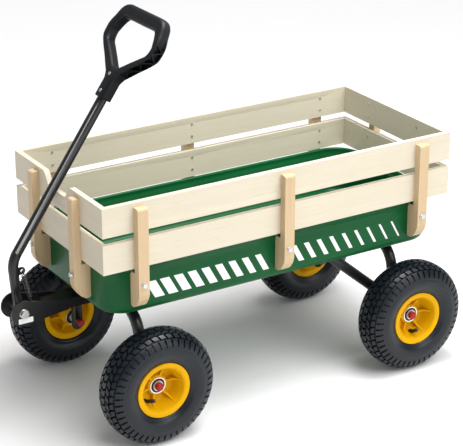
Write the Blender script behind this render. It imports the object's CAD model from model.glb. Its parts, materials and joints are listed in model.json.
"""Looks of a pull wagon: green pressed tray, slatted wooden sides, air-filled wheels, steering handle.

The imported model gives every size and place. Each sub-assembly is a class that reads the boxes of the
nodes it dresses, builds the finer meshes, and gives each piece its finish and the body it rides on.
"""

import json
import logging
import math
from dataclasses import dataclass
from enum import Enum

import bmesh
import bpy
from mathutils import Matrix, Vector


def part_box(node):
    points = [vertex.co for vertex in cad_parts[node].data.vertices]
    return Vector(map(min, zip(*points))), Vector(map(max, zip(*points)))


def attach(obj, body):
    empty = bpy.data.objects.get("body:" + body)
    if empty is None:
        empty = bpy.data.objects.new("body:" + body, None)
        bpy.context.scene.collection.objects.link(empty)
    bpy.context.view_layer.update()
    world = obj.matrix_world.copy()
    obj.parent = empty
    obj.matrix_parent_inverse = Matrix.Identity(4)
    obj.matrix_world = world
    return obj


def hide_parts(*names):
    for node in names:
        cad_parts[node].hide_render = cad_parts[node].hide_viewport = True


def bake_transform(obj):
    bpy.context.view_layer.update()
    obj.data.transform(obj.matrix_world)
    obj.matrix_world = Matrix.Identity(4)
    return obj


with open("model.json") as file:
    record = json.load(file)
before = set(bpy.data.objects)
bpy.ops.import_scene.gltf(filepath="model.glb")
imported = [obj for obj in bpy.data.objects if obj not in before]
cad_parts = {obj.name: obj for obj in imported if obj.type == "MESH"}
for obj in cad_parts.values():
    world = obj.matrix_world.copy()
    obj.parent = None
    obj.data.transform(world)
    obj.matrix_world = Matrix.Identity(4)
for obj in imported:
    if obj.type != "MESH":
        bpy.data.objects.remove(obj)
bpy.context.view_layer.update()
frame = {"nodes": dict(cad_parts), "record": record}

BODY_OF = {n: b for b, ns in frame["record"]["behaviour"]["bodies"].items() for n in ns}
SLOT_OF = {s["node"]: s["material_slot"] for s in frame["record"]["subparts"]}
LOG = logging.getLogger("wagon")
MM = 0.001

Socket = bpy.types.NodeSocket
Spot = tuple[float, float]
Triple = tuple[float, float, float]
Colour = Triple


# ---- paint: sockets, nodes and finishes ----


class Wire:
    """A number that varies over a surface. Arithmetic on it adds Math nodes."""

    def __init__(self, paint: "Paint", socket: Socket) -> None:
        """Holds an output socket.

        Args:
            paint: The paint whose node tree the socket belongs to.
            socket: The output socket.
        """
        self.paint = paint
        self.socket = socket

    def _math(self, operation: str, *values: "Wire | float", clamp: bool = False) -> "Wire":
        """Adds one Math node.

        Args:
            operation: Blender's name for the operation.
            values: The node's inputs in order.
            clamp: Whether the result is held between 0 and 1.

        Returns:
            The node's output.
        """
        sockets = dict(enumerate(values))
        node = self.paint.node("ShaderNodeMath", {"operation": operation, "use_clamp": clamp}, sockets)
        return Wire(self.paint, node.outputs[0])

    def __add__(self, other: "Wire | float") -> "Wire":
        """Sum."""
        return self._math("ADD", self, other)

    def __radd__(self, other: float) -> "Wire":
        """Sum with a number on the left."""
        return self._math("ADD", other, self)

    def __sub__(self, other: "Wire | float") -> "Wire":
        """Difference."""
        return self._math("SUBTRACT", self, other)

    def __rsub__(self, other: float) -> "Wire":
        """Difference with a number on the left."""
        return self._math("SUBTRACT", other, self)

    def __mul__(self, other: "Wire | float") -> "Wire":
        """Product."""
        return self._math("MULTIPLY", self, other)

    def __pow__(self, power: float) -> "Wire":
        """Power."""
        return self._math("POWER", self, power)

    def fraction(self) -> "Wire":
        """The part after the decimal point."""
        return self._math("FRACT", self)

    def held(self) -> "Wire":
        """The value held between 0 and 1."""
        return self._math("ADD", self, 0.0, clamp=True)

    def step(self, low: float, high: float) -> "Wire":
        """A smooth rise from 0 to 1.

        Args:
            low: The value where the rise starts.
            high: The value where it ends.

        Returns:
            The risen value, between 0 and 1.
        """
        node = self.paint.node(
            "ShaderNodeMapRange",
            {"interpolation_type": "SMOOTHSTEP"},
            {"Value": self, "From Min": low, "From Max": high, "To Min": 0.0, "To Max": 1.0},
        )
        return Wire(self.paint, node.outputs["Result"])


class Paint:
    """One material under construction."""

    def __init__(self, name: str) -> None:
        """Starts an empty material.

        Args:
            name: The material's name.
        """
        self.material = bpy.data.materials.new(name)
        self.material.use_nodes = True
        self.tree = self.material.node_tree
        self.tree.nodes.clear()
        self.shader = self.tree.nodes.new("ShaderNodeBsdfPrincipled")
        output = self.tree.nodes.new("ShaderNodeOutputMaterial")
        self.tree.links.new(self.shader.outputs[0], output.inputs["Surface"])

    def node(self, kind: str, settings: dict, sockets: dict) -> bpy.types.Node:
        """Adds a node.

        Args:
            kind: Blender's type of the node.
            settings: Its properties, set first. A ramp's stops are given as "stops".
            sockets: Values or links of its inputs, by name or number.

        Returns:
            The node.
        """
        node = self.tree.nodes.new(kind)
        for key, value in settings.items():
            if key == "stops":
                self._stops(node.color_ramp, value)
            else:
                setattr(node, key, value)
        for key, value in sockets.items():
            self.plug(node.inputs[key], value)
        return node

    @staticmethod
    def _stops(ramp: bpy.types.ColorRamp, stops: list[tuple[float, Colour]]) -> None:
        """Sets the stops of a colour ramp.

        Args:
            ramp: The ramp.
            stops: Place and colour of each stop.
        """
        while len(ramp.elements) > len(stops):
            ramp.elements.remove(ramp.elements[-1])
        while len(ramp.elements) < len(stops):
            ramp.elements.new(1.0)
        for element, (place, colour) in zip(ramp.elements, stops):
            element.position = place
            element.color = (*colour, 1.0)

    def plug(self, socket: Socket, value: object) -> None:
        """Links or sets an input.

        Args:
            socket: The input.
            value: A wire, an output socket, a number or a colour.
        """
        if isinstance(value, Wire):
            value = value.socket
        if isinstance(value, Socket):
            self.tree.links.new(value, socket)
        elif isinstance(value, tuple) and len(value) == 3 and socket.type == "RGBA":
            socket.default_value = (*value, 1.0)
        else:
            socket.default_value = value

    def place(self, stretch: Triple = (1.0, 1.0, 1.0)) -> Socket:
        """The point on the piece, in metres, stretched.

        Args:
            stretch: The factor along each axis.

        Returns:
            A vector output.
        """
        where = self.node("ShaderNodeTexCoord", {}, {})
        sockets = {"Vector": where.outputs["Object"], "Scale": stretch}
        return self.node("ShaderNodeMapping", {}, sockets).outputs[0]

    def cloud(self, at: Socket, scale: float, detail: float = 3.0, rough: float = 0.55) -> Wire:
        """Soft noise around 0.5.

        Args:
            at: The point where it is read.
            scale: Its frequency.
            detail: How many finer layers it has.
            rough: How strong the finer layers are.

        Returns:
            The noise.
        """
        sockets = {"Vector": at, "Scale": scale, "Detail": detail, "Roughness": rough}
        return Wire(self, self.node("ShaderNodeTexNoise", {}, sockets).outputs[0])

    def mix(self, share: Wire, one: object, other: object) -> Socket:
        """Blends two colours.

        Args:
            share: How much of the second shows.
            one: The first colour or link.
            other: The second colour or link.

        Returns:
            The blended colour.
        """
        node = self.node("ShaderNodeMix", {"data_type": "RGBA"}, {0: share, 6: one, 7: other})
        return node.outputs[2]

    def bump(self, height: Wire, strength: float, distance: float) -> Socket:
        """Turns a height into a normal.

        Args:
            height: The height, from 0 to 1.
            strength: How strongly it shows.
            distance: The height of 1, in metres.

        Returns:
            A normal.
        """
        sockets = {"Height": height, "Strength": strength, "Distance": distance}
        return self.node("ShaderNodeBump", {}, sockets).outputs[0]

    def finish(self, **sockets: object) -> bpy.types.Material:
        """Plugs the shader's inputs, with underscores for spaces in their names.

        Args:
            sockets: The values or links.

        Returns:
            The finished material.
        """
        for key, value in sockets.items():
            self.plug(self.shader.inputs[key.replace("_", " ")], value)
        return self.material


@dataclass(frozen=True)
class Enamel:
    """Sprayed and baked paint, with a faint orange peel and dulled edges."""

    name: str
    colour: Colour
    roughness: float = 0.28
    coat: float = 0.1
    peel: float = 0.05
    dust: float = 0.06
    specular: float = 0.3

    def make(self) -> bpy.types.Material:
        """Builds the material."""
        paint = Paint(self.name)
        at = paint.place()
        broad = paint.cloud(at, 9.0, 2.0)
        fine = paint.cloud(at, 260.0, 2.0)
        scuffs = paint.cloud(paint.place((1.0, 1.0, 3.0)), 55.0, 6.0, 0.7).step(0.56, 0.78)
        pale = tuple(min(1.0, c * 0.7 + 0.18) for c in self.colour)
        deep = tuple(c * 0.86 for c in self.colour)
        tone = paint.mix(broad.step(0.3, 0.7), deep, self.colour)
        tone = paint.mix(scuffs * self.dust, tone, pale)
        return paint.finish(
            Base_Color=tone,
            Roughness=(self.roughness + scuffs * 0.12 + (broad - 0.5) * 0.10).held(),
            Normal=paint.bump(fine, self.peel, 0.0004),
            Coat_Weight=self.coat,
            Coat_Roughness=0.12,
            Specular_IOR_Level=self.specular,
        )


class Grain(Enum):
    """The axis that a board's grain runs along."""

    X = 0
    Y = 1
    Z = 2


@dataclass(frozen=True)
class Wood:
    """Planed softwood or hardwood with its grain along one axis."""

    name: str
    pale: Colour
    dark: Colour
    grain: Grain
    roughness: float = 0.52

    def make(self) -> bpy.types.Material:
        """Builds the material."""
        paint = Paint(self.name)

        def along(length: float, across: float) -> Triple:
            """A stretch that is long with the grain and short across it."""
            return tuple(length if axis == self.grain.value else across for axis in range(3))

        rings = paint.cloud(paint.place(along(0.9, 26.0)), 1.0, 5.0, 0.6)
        ridge = (1.0 - ((rings * 9.0).fraction() * 2.0 - 1.0) ** 2.0).held()
        fibre = paint.cloud(paint.place(along(5.0, 420.0)), 1.0, 4.0, 0.7)
        pores = paint.cloud(paint.place(along(22.0, 900.0)), 1.0, 2.0, 0.6).step(0.62, 0.72)
        broad = paint.cloud(paint.place(along(1.6, 7.0)), 1.0, 2.0)
        share = ridge * 0.16 + fibre * 0.62 + broad * 0.36 - 0.32
        tone = paint.mix(share.held(), self.pale, self.dark)
        tone = paint.mix(pores * 0.35, tone, tuple(c * 0.72 for c in self.dark))
        height = fibre * 0.6 + ridge * 0.25 - pores * 0.4
        return paint.finish(
            Base_Color=tone,
            Roughness=(self.roughness + (fibre - 0.5) * 0.25).held(),
            Normal=paint.bump(height, 0.22, 0.0005),
            Specular_IOR_Level=0.35,
        )


@dataclass(frozen=True)
class Metal:
    """Plated or drawn steel with fine scratches."""

    name: str
    colour: Colour
    roughness: float = 0.3
    spots: float = 0.25

    def make(self) -> bpy.types.Material:
        """Builds the material."""
        paint = Paint(self.name)
        broad = paint.cloud(paint.place(), 120.0, 4.0, 0.6)
        fine = paint.cloud(paint.place((1.0, 1.0, 6.0)), 900.0, 3.0)
        dull = tuple(c * 0.55 for c in self.colour)
        tone = paint.mix(broad.step(0.35, 0.75) * self.spots, self.colour, dull)
        return paint.finish(
            Base_Color=tone,
            Metallic=1.0,
            Roughness=(self.roughness + (broad - 0.5) * 0.3 + (fine - 0.5) * 0.12).held(),
            Normal=paint.bump(fine, 0.08, 0.0002),
        )


@dataclass(frozen=True)
class Moulded:
    """Moulded plastic or rubber with a fine skin texture."""

    name: str
    colour: Colour
    roughness: float = 0.5
    skin: float = 0.15
    pitch: float = 700.0
    dust: float = 0.0
    specular: float = 0.5

    def make(self) -> bpy.types.Material:
        """Builds the material."""
        paint = Paint(self.name)
        at = paint.place()
        broad = paint.cloud(at, 22.0, 4.0, 0.6)
        fine = paint.cloud(at, self.pitch, 3.0, 0.6)
        pale = tuple(c + 0.10 for c in self.colour)
        share = broad.step(0.45, 0.8) * self.dust + (fine - 0.5) * 0.10
        tone = paint.mix(share.held(), self.colour, pale)
        return paint.finish(
            Base_Color=tone,
            Roughness=(self.roughness + (broad - 0.5) * 0.18 + (fine - 0.5) * 0.10).held(),
            Normal=paint.bump(fine, self.skin, 0.0004),
            Specular_IOR_Level=self.specular,
        )


class Finishes:
    """Every finish of the wagon, made once."""

    def __init__(self) -> None:
        """Makes the materials."""
        self.green = Enamel("green_enamel", (0.002, 0.086, 0.022), 0.36, 0.06, 0.05, 0.02, 0.14).make()
        self.yellow = Enamel("yellow_enamel", (0.72, 0.38, 0.001), 0.40, 0.0, 0.04, 0.0, 0.08).make()
        self.black = Enamel("black_powder_coat", (0.007, 0.007, 0.008), 0.34, 0.15, 0.12, 0.02, 0.4).make()
        pale, dark = (0.69, 0.63, 0.51), (0.58, 0.50, 0.36)
        flat = (Grain.X, Grain.Y)
        self.slat = {g: Wood(f"cream_slat_{g.name}", pale, dark, g).make() for g in flat}
        tan, brown = (0.64, 0.48, 0.30), (0.48, 0.33, 0.17)
        self.post = Wood("tan_post", tan, brown, Grain.Z, 0.46).make()
        self.zinc = Metal("bright_zinc", (0.62, 0.62, 0.60), 0.30).make()
        self.bearing = Metal("bearing_steel", (0.74, 0.74, 0.74), 0.22, 0.12).make()
        self.blued = Metal("screw_steel", (0.66, 0.62, 0.55), 0.5).make()
        self.wire = Metal("oiled_spring_wire", (0.12, 0.12, 0.13), 0.34).make()
        self.red = Moulded("red_cap_plastic", (0.32, 0.010, 0.008), 0.30, 0.05, 500.0, 0.0, 0.3).make()
        self.grip = Moulded("black_grip_plastic", (0.007, 0.008, 0.010), 0.45, 0.22, 900.0, 0.03, 0.2).make()
        self.tyre = Moulded("tyre_rubber", (0.005, 0.008, 0.012), 0.31, 0.34, 520.0, 0.05, 0.32).make()
        self.seal = Moulded("black_seal_rubber", (0.008, 0.008, 0.008), 0.55, 0.1).make()
        self.white = Moulded("white_vinyl", (0.86, 0.87, 0.86), 0.38, 0.03, 400.0).make()
        self.floor = Moulded("pale_floor", (0.93, 0.93, 0.93), 0.80, 0.02, 60.0).make()


# ---- forms: meshes and how they become pieces ----


class Form:
    """Points and faces of a piece while it is being made, in metres."""

    def __init__(self) -> None:
        """Starts with nothing."""
        self.points: list[Vector] = []
        self.faces: list[tuple[int, ...]] = []

    def grid(self, rows: list[list[Vector]], loop_rows: bool, loop_columns: bool) -> "Form":
        """Adds a skin over rows of points.

        Args:
            rows: The rows, all of one length.
            loop_rows: Whether the last row joins the first.
            loop_columns: Whether each row closes on itself.

        Returns:
            The form.
        """
        base, wide = len(self.points), len(rows[0])
        for row in rows:
            self.points.extend(row)
        for i in range(len(rows) if loop_rows else len(rows) - 1):
            below, above = base + i * wide, base + (i + 1) % len(rows) * wide
            for j in range(wide if loop_columns else wide - 1):
                k = (j + 1) % wide
                self.faces.append((below + j, below + k, above + k, above + j))
        return self

    def turned(self, profile: list[Spot], steps: int, place: Matrix) -> "Form":
        """Adds a closed section turned about +Z.

        Args:
            profile: Radius and height of each corner, in millimetres, going round once.
            steps: How many facets it has around.
            place: Where the axis stands.

        Returns:
            The form.
        """
        rows = []
        for i in range(steps):
            a = math.tau * i / steps
            rows.append(
                [place @ Vector((r * math.cos(a) * MM, r * math.sin(a) * MM, z * MM)) for r, z in profile]
            )
        return self.grid(rows, True, True)

    def plate(self, one: list[Vector], other: list[Vector]) -> None:
        """Adds a flat plate.

        Args:
            one: The four corners of one face, going round.
            other: The corners of the other face, in the same order.
        """
        base = len(self.points)
        self.points.extend(one + other)
        self.faces.append((base, base + 1, base + 2, base + 3))
        self.faces.append((base + 7, base + 6, base + 5, base + 4))
        for k in range(4):
            n = (k + 1) % 4
            self.faces.append((base + k, base + n, base + 4 + n, base + 4 + k))

    def closed(self, rows: list[list[Vector]]) -> "Form":
        """Adds a skin over rows of points with flat ends.

        Args:
            rows: The rows from one end to the other, each closed on itself.

        Returns:
            The form.
        """
        base, wide = len(self.points), len(rows[0])
        last = base + (len(rows) - 1) * wide
        self.grid(rows, False, True)
        self.faces.append(tuple(base + k for k in reversed(range(wide))))
        self.faces.append(tuple(last + k for k in range(wide)))
        return self

    def prism(self, outline: list[Spot], low: float, high: float, place: Matrix) -> "Form":
        """Adds a straight prism along +Z.

        Args:
            outline: Its corners, in millimetres.
            low: Height of its foot, in millimetres.
            high: Height of its top, in millimetres.
            place: Where it stands.

        Returns:
            The form.
        """
        base, n = len(self.points), len(outline)
        for z in (low, high):
            self.points.extend(place @ Vector((x * MM, y * MM, z * MM)) for x, y in outline)
        self.faces.append(tuple(base + i for i in reversed(range(n))))
        self.faces.append(tuple(base + n + i for i in range(n)))
        for i in range(n):
            j = (i + 1) % n
            self.faces.append((base + i, base + j, base + n + j, base + n + i))
        return self

    def rod(self, path: list[Vector], radius: float, sides: int = 12) -> "Form":
        """Adds a round wire with closed ends.

        Args:
            path: The centre line, in metres.
            radius: Its radius, in millimetres.
            sides: How many facets it has around.

        Returns:
            The form.
        """
        rows: list[list[Vector]] = []
        tangent = (path[1] - path[0]).normalized()
        across = tangent.orthogonal().normalized()
        for i, point in enumerate(path):
            ahead, behind = path[min(i + 1, len(path) - 1)], path[max(i - 1, 0)]
            turn = tangent.rotation_difference((ahead - behind).normalized())
            tangent = (ahead - behind).normalized()
            across = (turn @ across).normalized()
            up = tangent.cross(across)
            ring = []
            for k in range(sides):
                a = math.tau * k / sides
                ring.append(point + (across * math.cos(a) + up * math.sin(a)) * radius * MM)
            rows.append(ring)
        return self.closed(rows)

    def mesh(self, name: str) -> bpy.types.Mesh:
        """Turns the form into a mesh with its faces looking outward."""
        made = bpy.data.meshes.new(name)
        made.from_pydata([tuple(p) for p in self.points], [], self.faces)
        work = bmesh.new()
        work.from_mesh(made)
        bmesh.ops.recalc_face_normals(work, faces=work.faces)
        work.to_mesh(made)
        work.free()
        return made


@dataclass
class Shop:
    """Turns meshes into finished pieces that ride on their bodies."""

    finishes: Finishes

    def piece(
        self,
        name: str,
        mesh: bpy.types.Mesh,
        finish: bpy.types.Material,
        body: str,
        slot: str | None,
        replaces: tuple[str, ...] = (),
        smooth: float = 35.0,
    ) -> None:
        """Adds a piece to the scene.

        Args:
            name: The piece's name.
            mesh: Its mesh, in the row frame.
            finish: Its material.
            body: The body it rides on.
            slot: The record's material slot that it takes, if one fits.
            replaces: The nodes that it stands for.
            smooth: The angle in degrees above which an edge stays sharp.
        """
        mesh.materials.clear()
        mesh.materials.append(finish)
        mesh.shade_smooth()
        mesh.set_sharp_from_angle(angle=math.radians(smooth))
        made = placed(name, mesh)
        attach(made, body)
        if replaces:
            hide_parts(*replaces)
        LOG.info("%s: %d faces on %s", name, len(mesh.polygons), body)

    def eased(
        self, node: str, finish: bpy.types.Material, edge: float, steps: int = 2, smooth: float = 14.0
    ) -> None:
        """Adds a node's own shape with its hard edges eased.

        Args:
            node: The node.
            finish: Its material.
            edge: Width of the eased edge, in millimetres.
            steps: How many facets the eased edge has.
            smooth: The angle in degrees above which an edge stays sharp.
        """
        work = bmesh.new()
        work.from_mesh(frame["nodes"][node].data)
        bmesh.ops.remove_doubles(work, verts=work.verts, dist=0.00002)
        bmesh.ops.dissolve_limit(work, angle_limit=math.radians(0.6), verts=work.verts, edges=work.edges)
        corner = math.radians(32)
        hard = [e for e in work.edges if len(e.link_faces) == 2 and e.calc_face_angle(0.0) > corner]
        if edge > 0.0 and hard:
            shape = {"offset": edge * MM, "segments": steps, "profile": 0.5}
            bmesh.ops.bevel(work, geom=hard, affect="EDGES", clamp_overlap=True, **shape)
        mesh = bpy.data.meshes.new(node + "_eased")
        work.to_mesh(mesh)
        work.free()
        self.piece(node + "_finished", mesh, finish, BODY_OF[node], SLOT_OF[node], (node,), smooth)

    def dress(self, node: str, finish: bpy.types.Material) -> None:
        """Gives a node that keeps its own shape its finish."""
        data = frame["nodes"][node].data
        data.materials.clear()
        data.materials.append(finish)
        LOG.info("%s dressed", node)


def rounded(half_wide: float, half_tall: float, radii: tuple[float, ...], steps: int) -> list[Spot]:
    """The outline of a rectangle with rounded corners.

    Args:
        half_wide: Half its width.
        half_tall: Half its height.
        radii: The corners' radii, going round from the one where both coordinates are positive.
        steps: How many facets each corner has.

    Returns:
        The points, going round once.
    """
    points = []
    quarters = ((1, 1, 0), (-1, 1, 90), (-1, -1, 180), (1, -1, 270))
    for radius, (right, up, start) in zip(radii, quarters):
        for k in range(steps + 1):
            a = math.radians(start + 90 / steps * k)
            x = right * (half_wide - radius) + radius * math.cos(a)
            points.append((x, up * (half_tall - radius) + radius * math.sin(a)))
    return points


def placed(name: str, data: bpy.types.ID) -> bpy.types.Object:
    """Makes an object of a mesh, a light or a camera and puts it in the scene."""
    made = bpy.data.objects.new(name, data)
    bpy.context.scene.collection.objects.link(made)
    return made


def centre_of(node: str) -> Vector:
    """The middle of a node's box."""
    low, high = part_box(node)
    return (low + high) / 2


# ---- wheels ----


class Row(Enum):
    """What a line around the tyre belongs to: plain rubber, one of two block rows, or a groove."""

    PLAIN = 0
    EVEN = 1
    ODD = 2
    GROOVE = 3


@dataclass
class Wheel:
    """One wheel: tyre with a block tread, ribbed rim, bearings and valve stem.

    Sizes in millimetres. The gaps between blocks are measured from their middle, in pitches.
    """

    shop: Shop
    corner: str
    turn: float
    radius: float = 130.0
    half_width: float = 42.5
    shoulder_base: float = 86.0
    seat: float = 50.6
    pitches: int = 46
    groove: float = 5.4
    gap_foot: float = 0.115
    gap_top: float = 0.150
    ribs: int = 6

    def __post_init__(self) -> None:
        """Finds the wheel's place and outward direction."""
        side = 1.0 if self.corner.endswith("left") else -1.0
        turn = Matrix.Rotation(-side * math.pi / 2, 4, "X") @ Matrix.Rotation(self.turn, 4, "Z")
        self.place = Matrix.Translation(centre_of("tyre_" + self.corner)) @ turn
        self.body = "wheel_" + self.corner

    def crown(self, angle: float) -> Spot:
        """A point on the tyre's outer section.

        Args:
            angle: From the crown (0) to the sidewall (90 either way), in degrees.

        Returns:
            Radius and distance from the wheel's middle plane.
        """
        a = math.radians(angle)
        power = 2 / 2.6
        rise = self.radius - self.shoulder_base
        out = math.copysign(abs(math.sin(a)) ** power, a)
        return self.shoulder_base + rise * abs(math.cos(a)) ** power, self.half_width * out

    def section(self) -> list[tuple[float, float, Row, float, float]]:
        """The tyre's section from bead to bead.

        Returns:
            For each line: radius, distance from the middle plane, tread row, groove depth as a share
            of the full depth, and slant in pitches.
        """
        lines: list[tuple[float, float, Row, float, float]] = []
        bead = [(self.seat, 30.9), (63.6, 31.1), (65.2, 33.6), (68.2, 35.9)]
        wall = [(70.0, 36.2), (71.0, 37.8), (78.0, 40.4)]
        lines.extend((r, z, Row.PLAIN, 0.0, 0.0) for r, z in bead + wall)
        for angle, raised in ((90, 0.0), (86, 0.0), (83.5, 0.9), (82.5, 0.0), (80, 0.0)):
            r, z = self.crown(angle)
            lines.append((r + raised, z, Row.PLAIN, 0.0, 0.0))
        shoulder = [(73, 0.0), (71, 0.55), (66, 0.6), (60, 0.8), (52, 1.0), (47, 1.0)]
        for angle, depth in shoulder:
            r, z = self.crown(angle)
            row = Row.EVEN if depth else Row.PLAIN
            lines.append((r, z, row, depth, 0.10 + (73 - angle) * 0.004))
        bands = (
            (Row.GROOVE, 0.8, ((45.8, 0.22), (42.6, 0.22))),
            (Row.ODD, 1.0, ((41.4, 0.24), (34.0, 0.34), (27.2, 0.44))),
            (Row.GROOVE, 1.0, ((26.0, 0.28), (23.2, 0.28))),
            (Row.EVEN, 1.0, ((21.8, 0.28), (16.0, 0.12), (10.0, -0.10))),
            (Row.GROOVE, 1.0, ((8.8, -0.12), (6.6, -0.12))),
            (Row.ODD, 1.0, ((5.4, -0.10), (0.0, 0.16))),
        )
        for row, depth, places in bands:
            lines.extend((*self.crown(angle), row, depth, slant) for angle, slant in places)
        return lines + [(r, -z, row, depth, slant) for r, z, row, depth, slant in reversed(lines[:-1])]

    def tyre_form(self) -> Form:
        """The tyre with raised blocks."""
        cuts: list[tuple[float, Row | None]] = []
        foot, top = self.gap_foot, self.gap_top
        for middle, kind in ((0.0, Row.EVEN), (0.5, Row.ODD)):
            for away, cut in ((-top, None), (-foot, kind), (foot, kind), (top, None)):
                cuts.append((middle + away, cut))
        rows = []
        section = self.section()
        for pitch in range(self.pitches):
            for phase, cut in cuts:
                row = []
                for r, z, band, depth, slant in section:
                    down = self.groove * depth if band in (Row.GROOVE, cut) else 0.0
                    flat = abs(z) / self.half_width
                    r_in = r - down * math.sqrt(max(0.0, 1 - flat**4))
                    z_in = z - math.copysign(down * flat**2 * 0.8, z)
                    a = math.tau * (pitch + phase + slant) / self.pitches
                    point = Vector((r_in * math.cos(a) * MM, r_in * math.sin(a) * MM, z_in * MM))
                    row.append(self.place @ point)
                rows.append(row)
        return Form().grid(rows, True, True)

    def rim_form(self) -> Form:
        """The rim: a dished spool with rolled lips, a hub and ribs on both faces."""
        spool = [
            (62.6, 31.0), (50.0, 31.0), (50.0, 18.0), (44.0, 12.0), (44.0, -12.0), (50.0, -18.0),
            (50.0, -31.0), (62.6, -31.0), (63.2, -31.8), (63.2, -33.2), (62.2, -34.0), (53.5, -34.0),
            (50.5, -33.0), (48.6, -30.0), (46.0, -20.0), (42.0, -15.0), (39.5, -12.0), (36.0, -10.4),
            (25.5, -10.4), (23.6, -11.6), (23.0, -14.0), (22.6, -50.5), (21.6, -51.9), (17.6, -51.9),
            (17.6, 3.9), (21.4, 3.9), (22.6, 3.0), (23.0, 1.4), (23.4, -2.6), (25.4, -4.8), (29.0, -5.2),
            (35.5, -5.0), (39.0, -3.6), (41.0, 0.0), (43.0, 8.0), (46.2, 20.0), (48.6, 27.0),
            (50.2, 30.6), (52.2, 32.6), (55.0, 33.7), (60.5, 33.9), (62.4, 33.6), (63.2, 32.6), (63.2, 31.6),
        ]
        form = Form().turned(spool, 96, self.place)
        for i in range(self.ribs):
            turn = self.place @ Matrix.Rotation(math.tau * (i + 0.5) / self.ribs, 4, "Z")
            stand = turn @ Matrix.Rotation(math.pi / 2, 4, "X")
            front = [(21.5, -8.0), (43.0, -8.0), (48.8, 26.0), (46.6, 23.0)]
            front += [(41.5, 11.5), (34.0, 6.0), (22.0, 3.2)]
            back = [(21.5, -8.0), (22.5, -30.0), (34.0, -26.0), (47.2, -20.5), (41.0, -8.0)]
            form.prism(front, -2.1, 2.1, stand)
            form.prism(back, -1.6, 1.6, stand)
        return form

    def build(self) -> None:
        """Builds and dresses the wheel."""
        shop, f = self.shop, self.shop.finishes
        tyre, rim, bearings = (f"{kind}_{self.corner}" for kind in ("tyre", "rim", "bearings"))
        tread, dish = self.tyre_form().mesh(tyre), self.rim_form().mesh(rim)
        shop.piece(f"{tyre}_treaded", tread, f.tyre, self.body, SLOT_OF[tyre], (tyre,), 50)
        shop.piece(f"{rim}_ribbed", dish, f.yellow, self.body, SLOT_OF[rim], (rim,), 42)
        self.build_bearings(bearings)
        self.build_valve()

    def build_bearings(self, node: str) -> None:
        """Adds the flanged rings and their seals.

        Args:
            node: The node that they stand for.
        """
        ring, seal = Form(), Form()
        for z, s in ((3.9, 1.0), (-51.9, -1.0)):
            outer = [(17.5, 0.0), (18.6, 0.1), (19.0, 0.5), (19.0, 1.5), (18.6, 2.0)]
            outer += [(16.6, 2.0), (16.2, 1.6), (16.2, -9.0), (17.5, -9.0)]
            inner = [(8.02, -9.0), (10.6, -9.0), (10.6, 1.6), (10.2, 2.0), (8.4, 2.0), (8.02, 1.7)]
            cover = [(10.6, -8.0), (16.2, -8.0), (16.2, 0.9), (15.4, 1.2), (11.4, 1.2), (10.6, 0.9)]
            for form, section in ((ring, outer), (ring, inner), (seal, cover)):
                form.turned([(r, z + h * s) for r, h in section], 48, self.place)
        f = self.shop.finishes
        self.shop.piece(f"{node}_rings", ring.mesh(node), f.bearing, self.body, SLOT_OF[node], (node,))
        self.shop.piece(f"{node}_seals", seal.mesh(node + "_seals"), f.seal, self.body, SLOT_OF[node])

    def build_valve(self) -> None:
        """Adds the rubber valve stem with its cap, leaning from the dish towards the hub."""
        start, end = Vector((43.5, 0.0, 8.0)), Vector((30.0, 0.0, 31.0))
        lean = (end - start).normalized()
        turn = Vector((0, 0, 1)).rotation_difference(lean).to_matrix().to_4x4()
        stand = self.place @ Matrix.Translation(start * MM) @ turn
        length = (end - start).length
        stem = [(0.05, -2.0), (6.4, -2.0), (6.4, 1.0), (4.6, 3.4), (4.1, 6.0), (4.0, length - 10.4)]
        cap = [(3.4, 10.0), (3.4, 9.4), (4.3, 9.2), (4.4, 1.2), (3.7, 0.1), (0.05, 0.0)]
        form = Form().turned(stem + [(r, length - below) for r, below in cap], 20, stand)
        f = self.shop.finishes
        name = "valve_stem_" + self.corner
        self.shop.piece(name, form.mesh(name), f.seal, self.body, SLOT_OF["tyre_" + self.corner], (), 50)


# ---- tray and wooden sides ----


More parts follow.
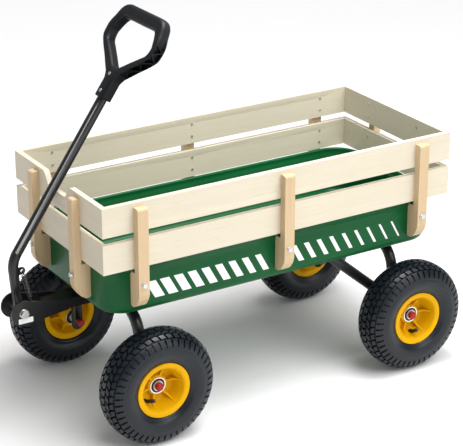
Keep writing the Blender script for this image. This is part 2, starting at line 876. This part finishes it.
@dataclass
class Body:
    """The tray with its painted bars, and the wooden sides. Sizes in metres.

    A bar's width is a share of its step: the thinnest at the rear, and a little more at each bar.
    """

    shop: Shop
    bars: int = 9
    thinnest: float = 0.14
    widening: float = 0.034
    paint_under: float = 0.0002
    paint_over: float = 0.00025
    stripe_high: float = 0.040
    stripe_lean: float = 0.022
    stripe_drop: float = 0.010
    rim_reach: float = 0.010
    post_gap: float = 0.030

    def build(self) -> None:
        """Builds and dresses the tray, slats, posts and fasteners."""
        f = self.shop.finishes
        self.shop.eased("tray", f.green, 0.0, smooth=40)
        for node in sorted(BODY_OF):
            if node.startswith(("slat_left", "slat_right")):
                self.shop.eased(node, f.slat[Grain.X], 1.0, 3)
            elif node.startswith("board_"):
                self.shop.eased(node, f.slat[Grain.Y], 1.0, 3)
            elif node.startswith("post_") and node not in ("post_bolts", "post_nuts"):
                self.shop.eased(node, f.post, 1.4, 3)
        for node in ("post_bolts", "post_nuts"):
            self.shop.eased(node, f.zinc, 0.4, 1)
        self.shop.dress("slat_screws", f.blued)
        self.build_stripes()

    def build_stripes(self) -> None:
        """Adds the slanted white bars on both sides of the tray."""
        low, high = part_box("tray")
        walls = (low.y + self.rim_reach, high.y - self.rim_reach)
        middle = (low.z + high.z) / 2 - self.stripe_drop
        posts = [centre_of(f"post_left_{place}").x for place in ("rear", "middle", "front")]
        form = Form()
        for wall in walls:
            out = math.copysign(1.0, wall)
            for panel, (start, end) in enumerate(zip(posts, posts[1:])):
                self.add_bars(form, start + self.post_gap, end - self.post_gap, wall, out, middle, panel)
        mesh = form.mesh("tray_bars")
        self.shop.piece("tray_bars", mesh, self.shop.finishes.white, "chassis", None)

    def add_bars(
        self, form: Form, start: float, end: float, wall: float, out: float, middle: float, panel: int
    ) -> None:
        """Adds one panel's row of slanted bars, which thin out towards the rear.

        Args:
            form: Where they are added.
            start: The panel's rear end.
            end: The panel's front end.
            wall: The wall's y.
            out: 1 on the left wall, -1 on the right one.
            middle: The height of the bars' middle.
            panel: The panel's number, from the rear.
        """
        step = (end - start) / self.bars
        tall, lean = self.stripe_high / 2, self.stripe_lean
        for i in range(self.bars):
            wide = step * (self.thinnest + self.widening * (i + panel * self.bars))
            x = start + step * (i + 0.5)
            ways = ((-1, -1), (1, -1), (1, 1), (-1, 1))
            corners = [(x + wide / 2 * side + lean / 2 * up, middle + tall * up) for side, up in ways]
            skins = (wall - out * self.paint_under, wall + out * self.paint_over)
            form.plate(*([Vector((cx, y, cz)) for cx, cz in corners] for y in skins))


# ---- frame, drawbar and handle ----


@dataclass
class Gear:
    """The frame under the tray, the swivel, the drawbar with its fork, and the axle pins.

    Sizes in millimetres. The label's place is from the fork bolt to its middle.
    """

    shop: Shop
    label: Spot = (34.0, 12.0)
    label_at: Spot = (-4.0, -17.0)

    def build(self) -> None:
        """Builds and dresses the running gear."""
        f = self.shop.finishes
        for node in ("rear_arch", "front_arch"):
            self.shop.eased(node, f.black, 0.0, smooth=50)
        plates = ("rear_saddle", "turntable_upper", "turntable_lower")
        for node in ("brace_left", "brace_right", *plates, "drawbar"):
            self.shop.eased(node, f.black, 0.8, 2)
        for node in ("fork_cheek_left", "fork_cheek_right", "spring_anchor"):
            self.shop.eased(node, f.black, 0.5, 2)
        for node in ("frame_studs", "frame_nuts", "king_pin", "king_nut", "fork_bolt", "fork_nut"):
            self.shop.eased(node, f.zinc, 0.4, 1)
        for node in ("rear_axle_pins", "front_axle_pins"):
            self.shop.eased(node, f.blued, 0.3, 1)
        for node in ("rear_axle_caps", "front_axle_caps"):
            self.shop.eased(node, f.red, 0.9, 3, 35)
        self.build_label()

    def build_label(self) -> None:
        """Adds the blank label on the left fork cheek."""
        pivot, face = centre_of("fork_bolt"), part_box("fork_cheek_left")[1].y
        half_wide, half_tall, corner = self.label[0] / 2, self.label[1] / 2, 1.5
        across, down = self.label_at
        middle = Vector((pivot.x + across * MM, face, pivot.z + down * MM))
        stand = Matrix.Translation(middle) @ Matrix.Rotation(math.pi / 2, 4, "X")
        form = Form().prism(rounded(half_wide, half_tall, (corner,) * 4, 4), -0.3, 0.1, stand)
        mesh = form.mesh("blank_label")
        self.shop.piece("blank_label", mesh, self.shop.finishes.white, "steering", None)


@dataclass(frozen=True)
class Cut:
    """One cross-section of the grip's loop. Sizes in millimetres, across and along the handle."""

    outer: Spot
    inner: Spot
    edge: float = 9.0
    pocket: float = 0.0
    thick: float = 28.0

    def mirrored(self) -> "Cut":
        """The same section on the other side."""
        outer, inner = (-self.outer[0], self.outer[1]), (-self.inner[0], self.inner[1])
        return Cut(outer, inner, self.edge, self.pocket, self.thick)

    def half(self) -> float:
        """Half the distance from its inner to its outer side."""
        return math.hypot(self.outer[0] - self.inner[0], self.outer[1] - self.inner[1]) / 2

    def numbers(self) -> list[float]:
        """All its numbers in a row, for blending."""
        return [*self.outer, *self.inner, self.edge, self.pocket, self.thick]


@dataclass
class Grip:
    """The loop-shaped grip: a round crossbar, legs with ribbed pockets and a stem.

    Sizes in millimetres. The ribs' start and span count sections of the loop.
    """

    place: Matrix
    half_wide: float = 104.0
    top: float = 601.0
    foot: float = 395.0
    parts: int = 6
    facets: int = 5
    soft_edge: float = 9.0
    stem_edge: float = 7.0
    ribs: int = 7
    rib_thick: float = 1.8
    ribbed: Spot = (4.2, 5.0)

    def __post_init__(self) -> None:
        """Lays out the loop's sections, from the top's middle around the left side."""
        side = [
            Cut((62, 601), (58, 570)),
            Cut((85, 591), (70, 565)),
            Cut((96, 569), (78, 554), 8.0),
            Cut((102, 551), (83, 543), 4.0, 4.0),
            Cut((104, 536), (86, 532), 2.6, 10.0, 27.0),
            Cut((101, 517), (81, 516), 2.6, 11.0, 27.0),
            Cut((84, 499), (66, 506), 2.6, 11.0, 27.0),
            Cut((58, 479), (41, 489), 2.6, 11.0, 27.0),
            Cut((36, 461), (20, 474), 2.6, 7.0, 27.0),
            Cut((18, 447), (9, 467), 4.0),
        ]
        back = [cut.mirrored() for cut in reversed(side)]
        self.loop = [Cut((0, 601), (0, 570)), *side, Cut((0, 441), (0, 465.5), 4.0), *back]

    def at(self, along: float) -> Cut:
        """A section between the given ones.

        Args:
            along: The number of the section, with a fraction.

        Returns:
            The blended section.
        """
        i, f = math.floor(along), along - math.floor(along)
        four = [self.loop[(i + k) % len(self.loop)].numbers() for k in (-1, 0, 1, 2)]
        weights = (
            (-f + 2 * f**2 - f**3) / 2,
            (2 - 5 * f**2 + 3 * f**3) / 2,
            (f + 4 * f**2 - 3 * f**3) / 2,
            (-(f**2) + f**3) / 2,
        )
        oy, oz, iy, iz, edge, pocket, thick = (sum(w * v for w, v in zip(weights, vs)) for vs in zip(*four))
        oy = max(-self.half_wide, min(self.half_wide, oy))
        return Cut((oy, min(self.top, oz)), (iy, iz), max(2.0, edge), max(0.0, pocket), thick)

    def point(self, cut: Cut, out: float, front: float) -> Vector:
        """A point of a section.

        Args:
            cut: The section.
            out: Distance outward from its middle.
            front: Distance towards the grip's front face.

        Returns:
            The point, in metres.
        """
        (oy, oz), (iy, iz) = cut.outer, cut.inner
        wide = math.hypot(oy - iy, oz - iz)
        y, z = (oy + iy) / 2 + (oy - iy) / wide * out, (oz + iz) / 2 + (oz - iz) / wide * out
        return self.place @ Vector((front * MM, y * MM, z * MM))

    def ring(self, cut: Cut) -> list[Vector]:
        """The outline of a section, with its pocket.

        Args:
            cut: The section.

        Returns:
            The points, going round once.
        """
        half, deep = cut.half(), cut.thick / 2
        lip = max(2.8, cut.edge)
        out_edge, in_edge = min(cut.edge, half - 0.5), min(self.soft_edge, half - 0.5)
        points = rounded(half, deep, (out_edge, in_edge, in_edge, out_edge), self.facets)
        for share, front in ((0.0, -1), (1.0, -1), (1.0, 1), (0.0, 1)):
            points.append((half - cut.pocket * share, front * (deep - lip - 0.4 * share)))
        return [self.point(cut, out, front) for out, front in points]

    def stem(self, form: Form) -> None:
        """Adds the stem that holds the tube.

        Args:
            form: Where it is added.
        """
        rows = []
        foot = [(0, 14.6, 12.2), (0.8, 16.4, 13.6), (2.4, 17, 14)]
        flare = [(42, 17, 14), (49, 20.5, 14), (56, 25.5, 14), (62, 30, 13.6)]
        for up, wide, deep in foot + flare:
            outline = rounded(wide, deep, (self.stem_edge,) * 4, self.facets)
            z = (self.foot + up) * MM
            rows.append([self.place @ Vector((x * MM, y * MM, z)) for y, x in outline])
        form.closed(rows)

    def rib(self, form: Form, start: float, end: float, way: float) -> None:
        """Adds one slanting rib across a leg's pocket.

        Args:
            form: Where it is added.
            start: The number of the section where it starts.
            end: The number of the section where it ends.
            way: 1 to slant towards the front, -1 to slant back.
        """
        corners = []
        for along, front in ((start, -way), (end, way)):
            cut = self.at(along)
            half, reach = cut.half(), front * (cut.thick / 2 - 2.2)
            corners.append([self.point(cut, out, reach) for out in (half - cut.pocket - 0.5, half - 1.0)])
        (a, b), (d, c) = corners
        across = (c - a).cross(b - a).normalized() * self.rib_thick / 2 * MM
        form.plate(*([p + across * side for p in (a, b, c, d)] for side in (-1, 1)))

    def form(self) -> Form:
        """The whole grip."""
        form = Form()
        steps = len(self.loop) * self.parts
        form.grid([self.ring(self.at(i / self.parts)) for i in range(steps)], True, True)
        self.stem(form)
        first, span = self.ribbed
        step = span / self.ribs
        for start in (first, len(self.loop) - first - span):
            for k in range(self.ribs):
                self.rib(form, start + k * step, start + (k + 1) * step, 1.0 if k % 2 else -1.0)
        return form


@dataclass
class Handle:
    """The bent tube, the grip, the pivot and the return spring. Sizes in millimetres."""

    shop: Shop
    coil: float = 5.0
    wire: float = 0.95
    turns: int = 15
    lower_hook: float = 4.6
    upper_hook: float = 4.2
    low: float = 112.0
    tilt: float = 4.6
    lean: float = 34.8

    def upper(self) -> Matrix:
        """The place of the handle's bend, with +Z up its upper part and +X to its front."""
        tilt = math.radians(self.tilt)
        bend = centre_of("fork_bolt") + Vector((math.sin(tilt), 0, math.cos(tilt))) * self.low * MM
        bend.y = 0.0
        return Matrix.Translation(bend) @ Matrix.Rotation(math.radians(-self.lean), 4, "Y")

    def build(self) -> None:
        """Builds and dresses the handle."""
        f = self.shop.finishes
        self.shop.eased("handle_tube", f.black, 0.0, smooth=45)
        self.shop.eased("pivot_sleeve", f.zinc, 0.3, 1)
        grip = Grip(self.upper()).form().mesh("grip")
        self.shop.piece("grip_moulded", grip, f.grip, "handle", SLOT_OF["grip"], ("grip",), 42)
        self.shop.eased("grip_screws", f.zinc, 0.5, 2)
        self.build_spring()

    def build_spring(self) -> None:
        """Adds the coil spring between the anchor pin and the eye on the tube."""
        low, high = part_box("return_spring")
        foot = centre_of("spring_anchor")
        sleeve = 0.012
        lean = Vector((high.x - low.x - sleeve, 0, high.z - low.z)).normalized()
        length = (high.z - foot.z) / lean.z + 0.008
        side = Vector((0, 1, 0))
        front = lean.cross(side)
        path = []
        steps = 14
        first, last = 0.011, length - 0.010
        for i in range(9):
            a = math.radians(-200 + i * 28)
            path.append(foot + (lean * math.sin(a) + front * math.cos(a)) * self.lower_hook * MM)
        for i in range(self.turns * steps + 1):
            a = math.tau * i / steps
            t = i / (self.turns * steps)
            at = foot + lean * (first + (last - first) * t)
            path.append(at + (front * math.cos(a) + side * math.sin(a)) * self.coil * MM)
        top = foot + lean * (length - 0.002)
        for i in range(9):
            a = math.radians(-60 + i * 30)
            path.append(top + (lean * math.sin(a) + side * math.cos(a)) * self.upper_hook * MM)
        form = Form().rod(path, self.wire, 8)
        mesh = form.mesh("return_spring")
        mesh.materials.append(self.shop.finishes.wire)
        mesh.shade_smooth()
        made = placed("return_spring_coil", mesh)
        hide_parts("return_spring")
        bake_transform(made)
        LOG.info("return_spring_coil: %d faces across the handle's hinge", len(mesh.polygons))


# ---- studio ----


@dataclass
class Studio:
    """Camera, light and floor."""

    shop: Shop
    eye: Triple = (1.8934, 3.1440, 1.8877)
    aim: Triple = (-0.2534, -0.3416, 0.1868)
    lens: float = 136.87
    sensor: float = 36.0

    def build(self) -> None:
        """Sets the camera, the lights and the floor."""
        self.set_camera()
        self.set_light()
        self.set_floor()

    def set_camera(self) -> None:
        """Adds the camera."""
        data = bpy.data.cameras.new("camera")
        data.lens, data.sensor_width, data.sensor_fit = self.lens, self.sensor, "HORIZONTAL"
        data.clip_end = 50.0
        camera = placed("camera", data)
        camera.location = self.eye
        way = Vector(self.aim) - Vector(self.eye)
        camera.rotation_euler = way.to_track_quat("-Z", "Y").to_euler()
        bpy.context.scene.camera = camera

    def lamp(self, name: str, at: Triple, size: float, power: float) -> None:
        """Adds a square soft light that points at the wagon.

        Args:
            name: Its name.
            at: Where it stands.
            size: Its width, in metres.
            power: Its power, in watts.
        """
        data = bpy.data.lights.new(name, "AREA")
        data.shape, data.size, data.energy = "SQUARE", size, power
        light = placed(name, data)
        light.location = at
        way = Vector((0.0, 0.0, 0.35)) - Vector(at)
        light.rotation_euler = way.to_track_quat("-Z", "Y").to_euler()

    def sun(self, towards: Vector, strength: float) -> None:
        """Adds a broad even light that also keeps the floor white far out.

        Args:
            towards: The way to the light.
            strength: Its strength, in watts per square metre.
        """
        data = bpy.data.lights.new("sun", "SUN")
        data.energy, data.angle = strength, math.radians(50)
        light = placed("sun", data)
        light.rotation_euler = towards.to_track_quat("Z", "Y").to_euler()

    def set_light(self) -> None:
        """Adds a dim white sky, a broad main light and two soft lamps."""
        world = bpy.data.worlds.new("studio")
        world.use_nodes = True
        sky = world.node_tree.nodes["Background"]
        sky.inputs["Color"].default_value = (1.0, 1.0, 1.0, 1.0)
        sky.inputs["Strength"].default_value = 0.42
        bpy.context.scene.world = world
        bpy.context.scene.view_settings.view_transform = "Standard"
        self.sun(Vector((-0.25, 0.75, 1.30)), 2.15)
        self.lamp("top", (-0.3, 0.12, 1.8), 0.8, 28.0)
        self.lamp("side", (-1.2, 3.2, 1.2), 1.8, 22.0)

    def set_floor(self) -> None:
        """Adds the pale floor."""
        mesh = bpy.data.meshes.new("floor")
        reach = 30.0
        corners = [(-reach, -reach, 0), (reach, -reach, 0), (reach, reach, 0), (-reach, reach, 0)]
        mesh.from_pydata(corners, [], [(0, 1, 2, 3)])
        mesh.materials.append(self.shop.finishes.floor)
        floor = placed("floor", mesh)


def main() -> None:
    """Builds the wagon in order."""
    logging.basicConfig(level=logging.INFO, format="%(message)s")
    shop = Shop(Finishes())
    Studio(shop).build()
    Body(shop).build()
    Gear(shop).build()
    Handle(shop).build()
    turns = {"front_left": 40.0, "front_right": 20.0, "rear_left": 92.0, "rear_right": 70.0}
    for corner, turn in turns.items():
        Wheel(shop, corner, math.radians(turn)).build()


if __name__ == "__main__":
    main()
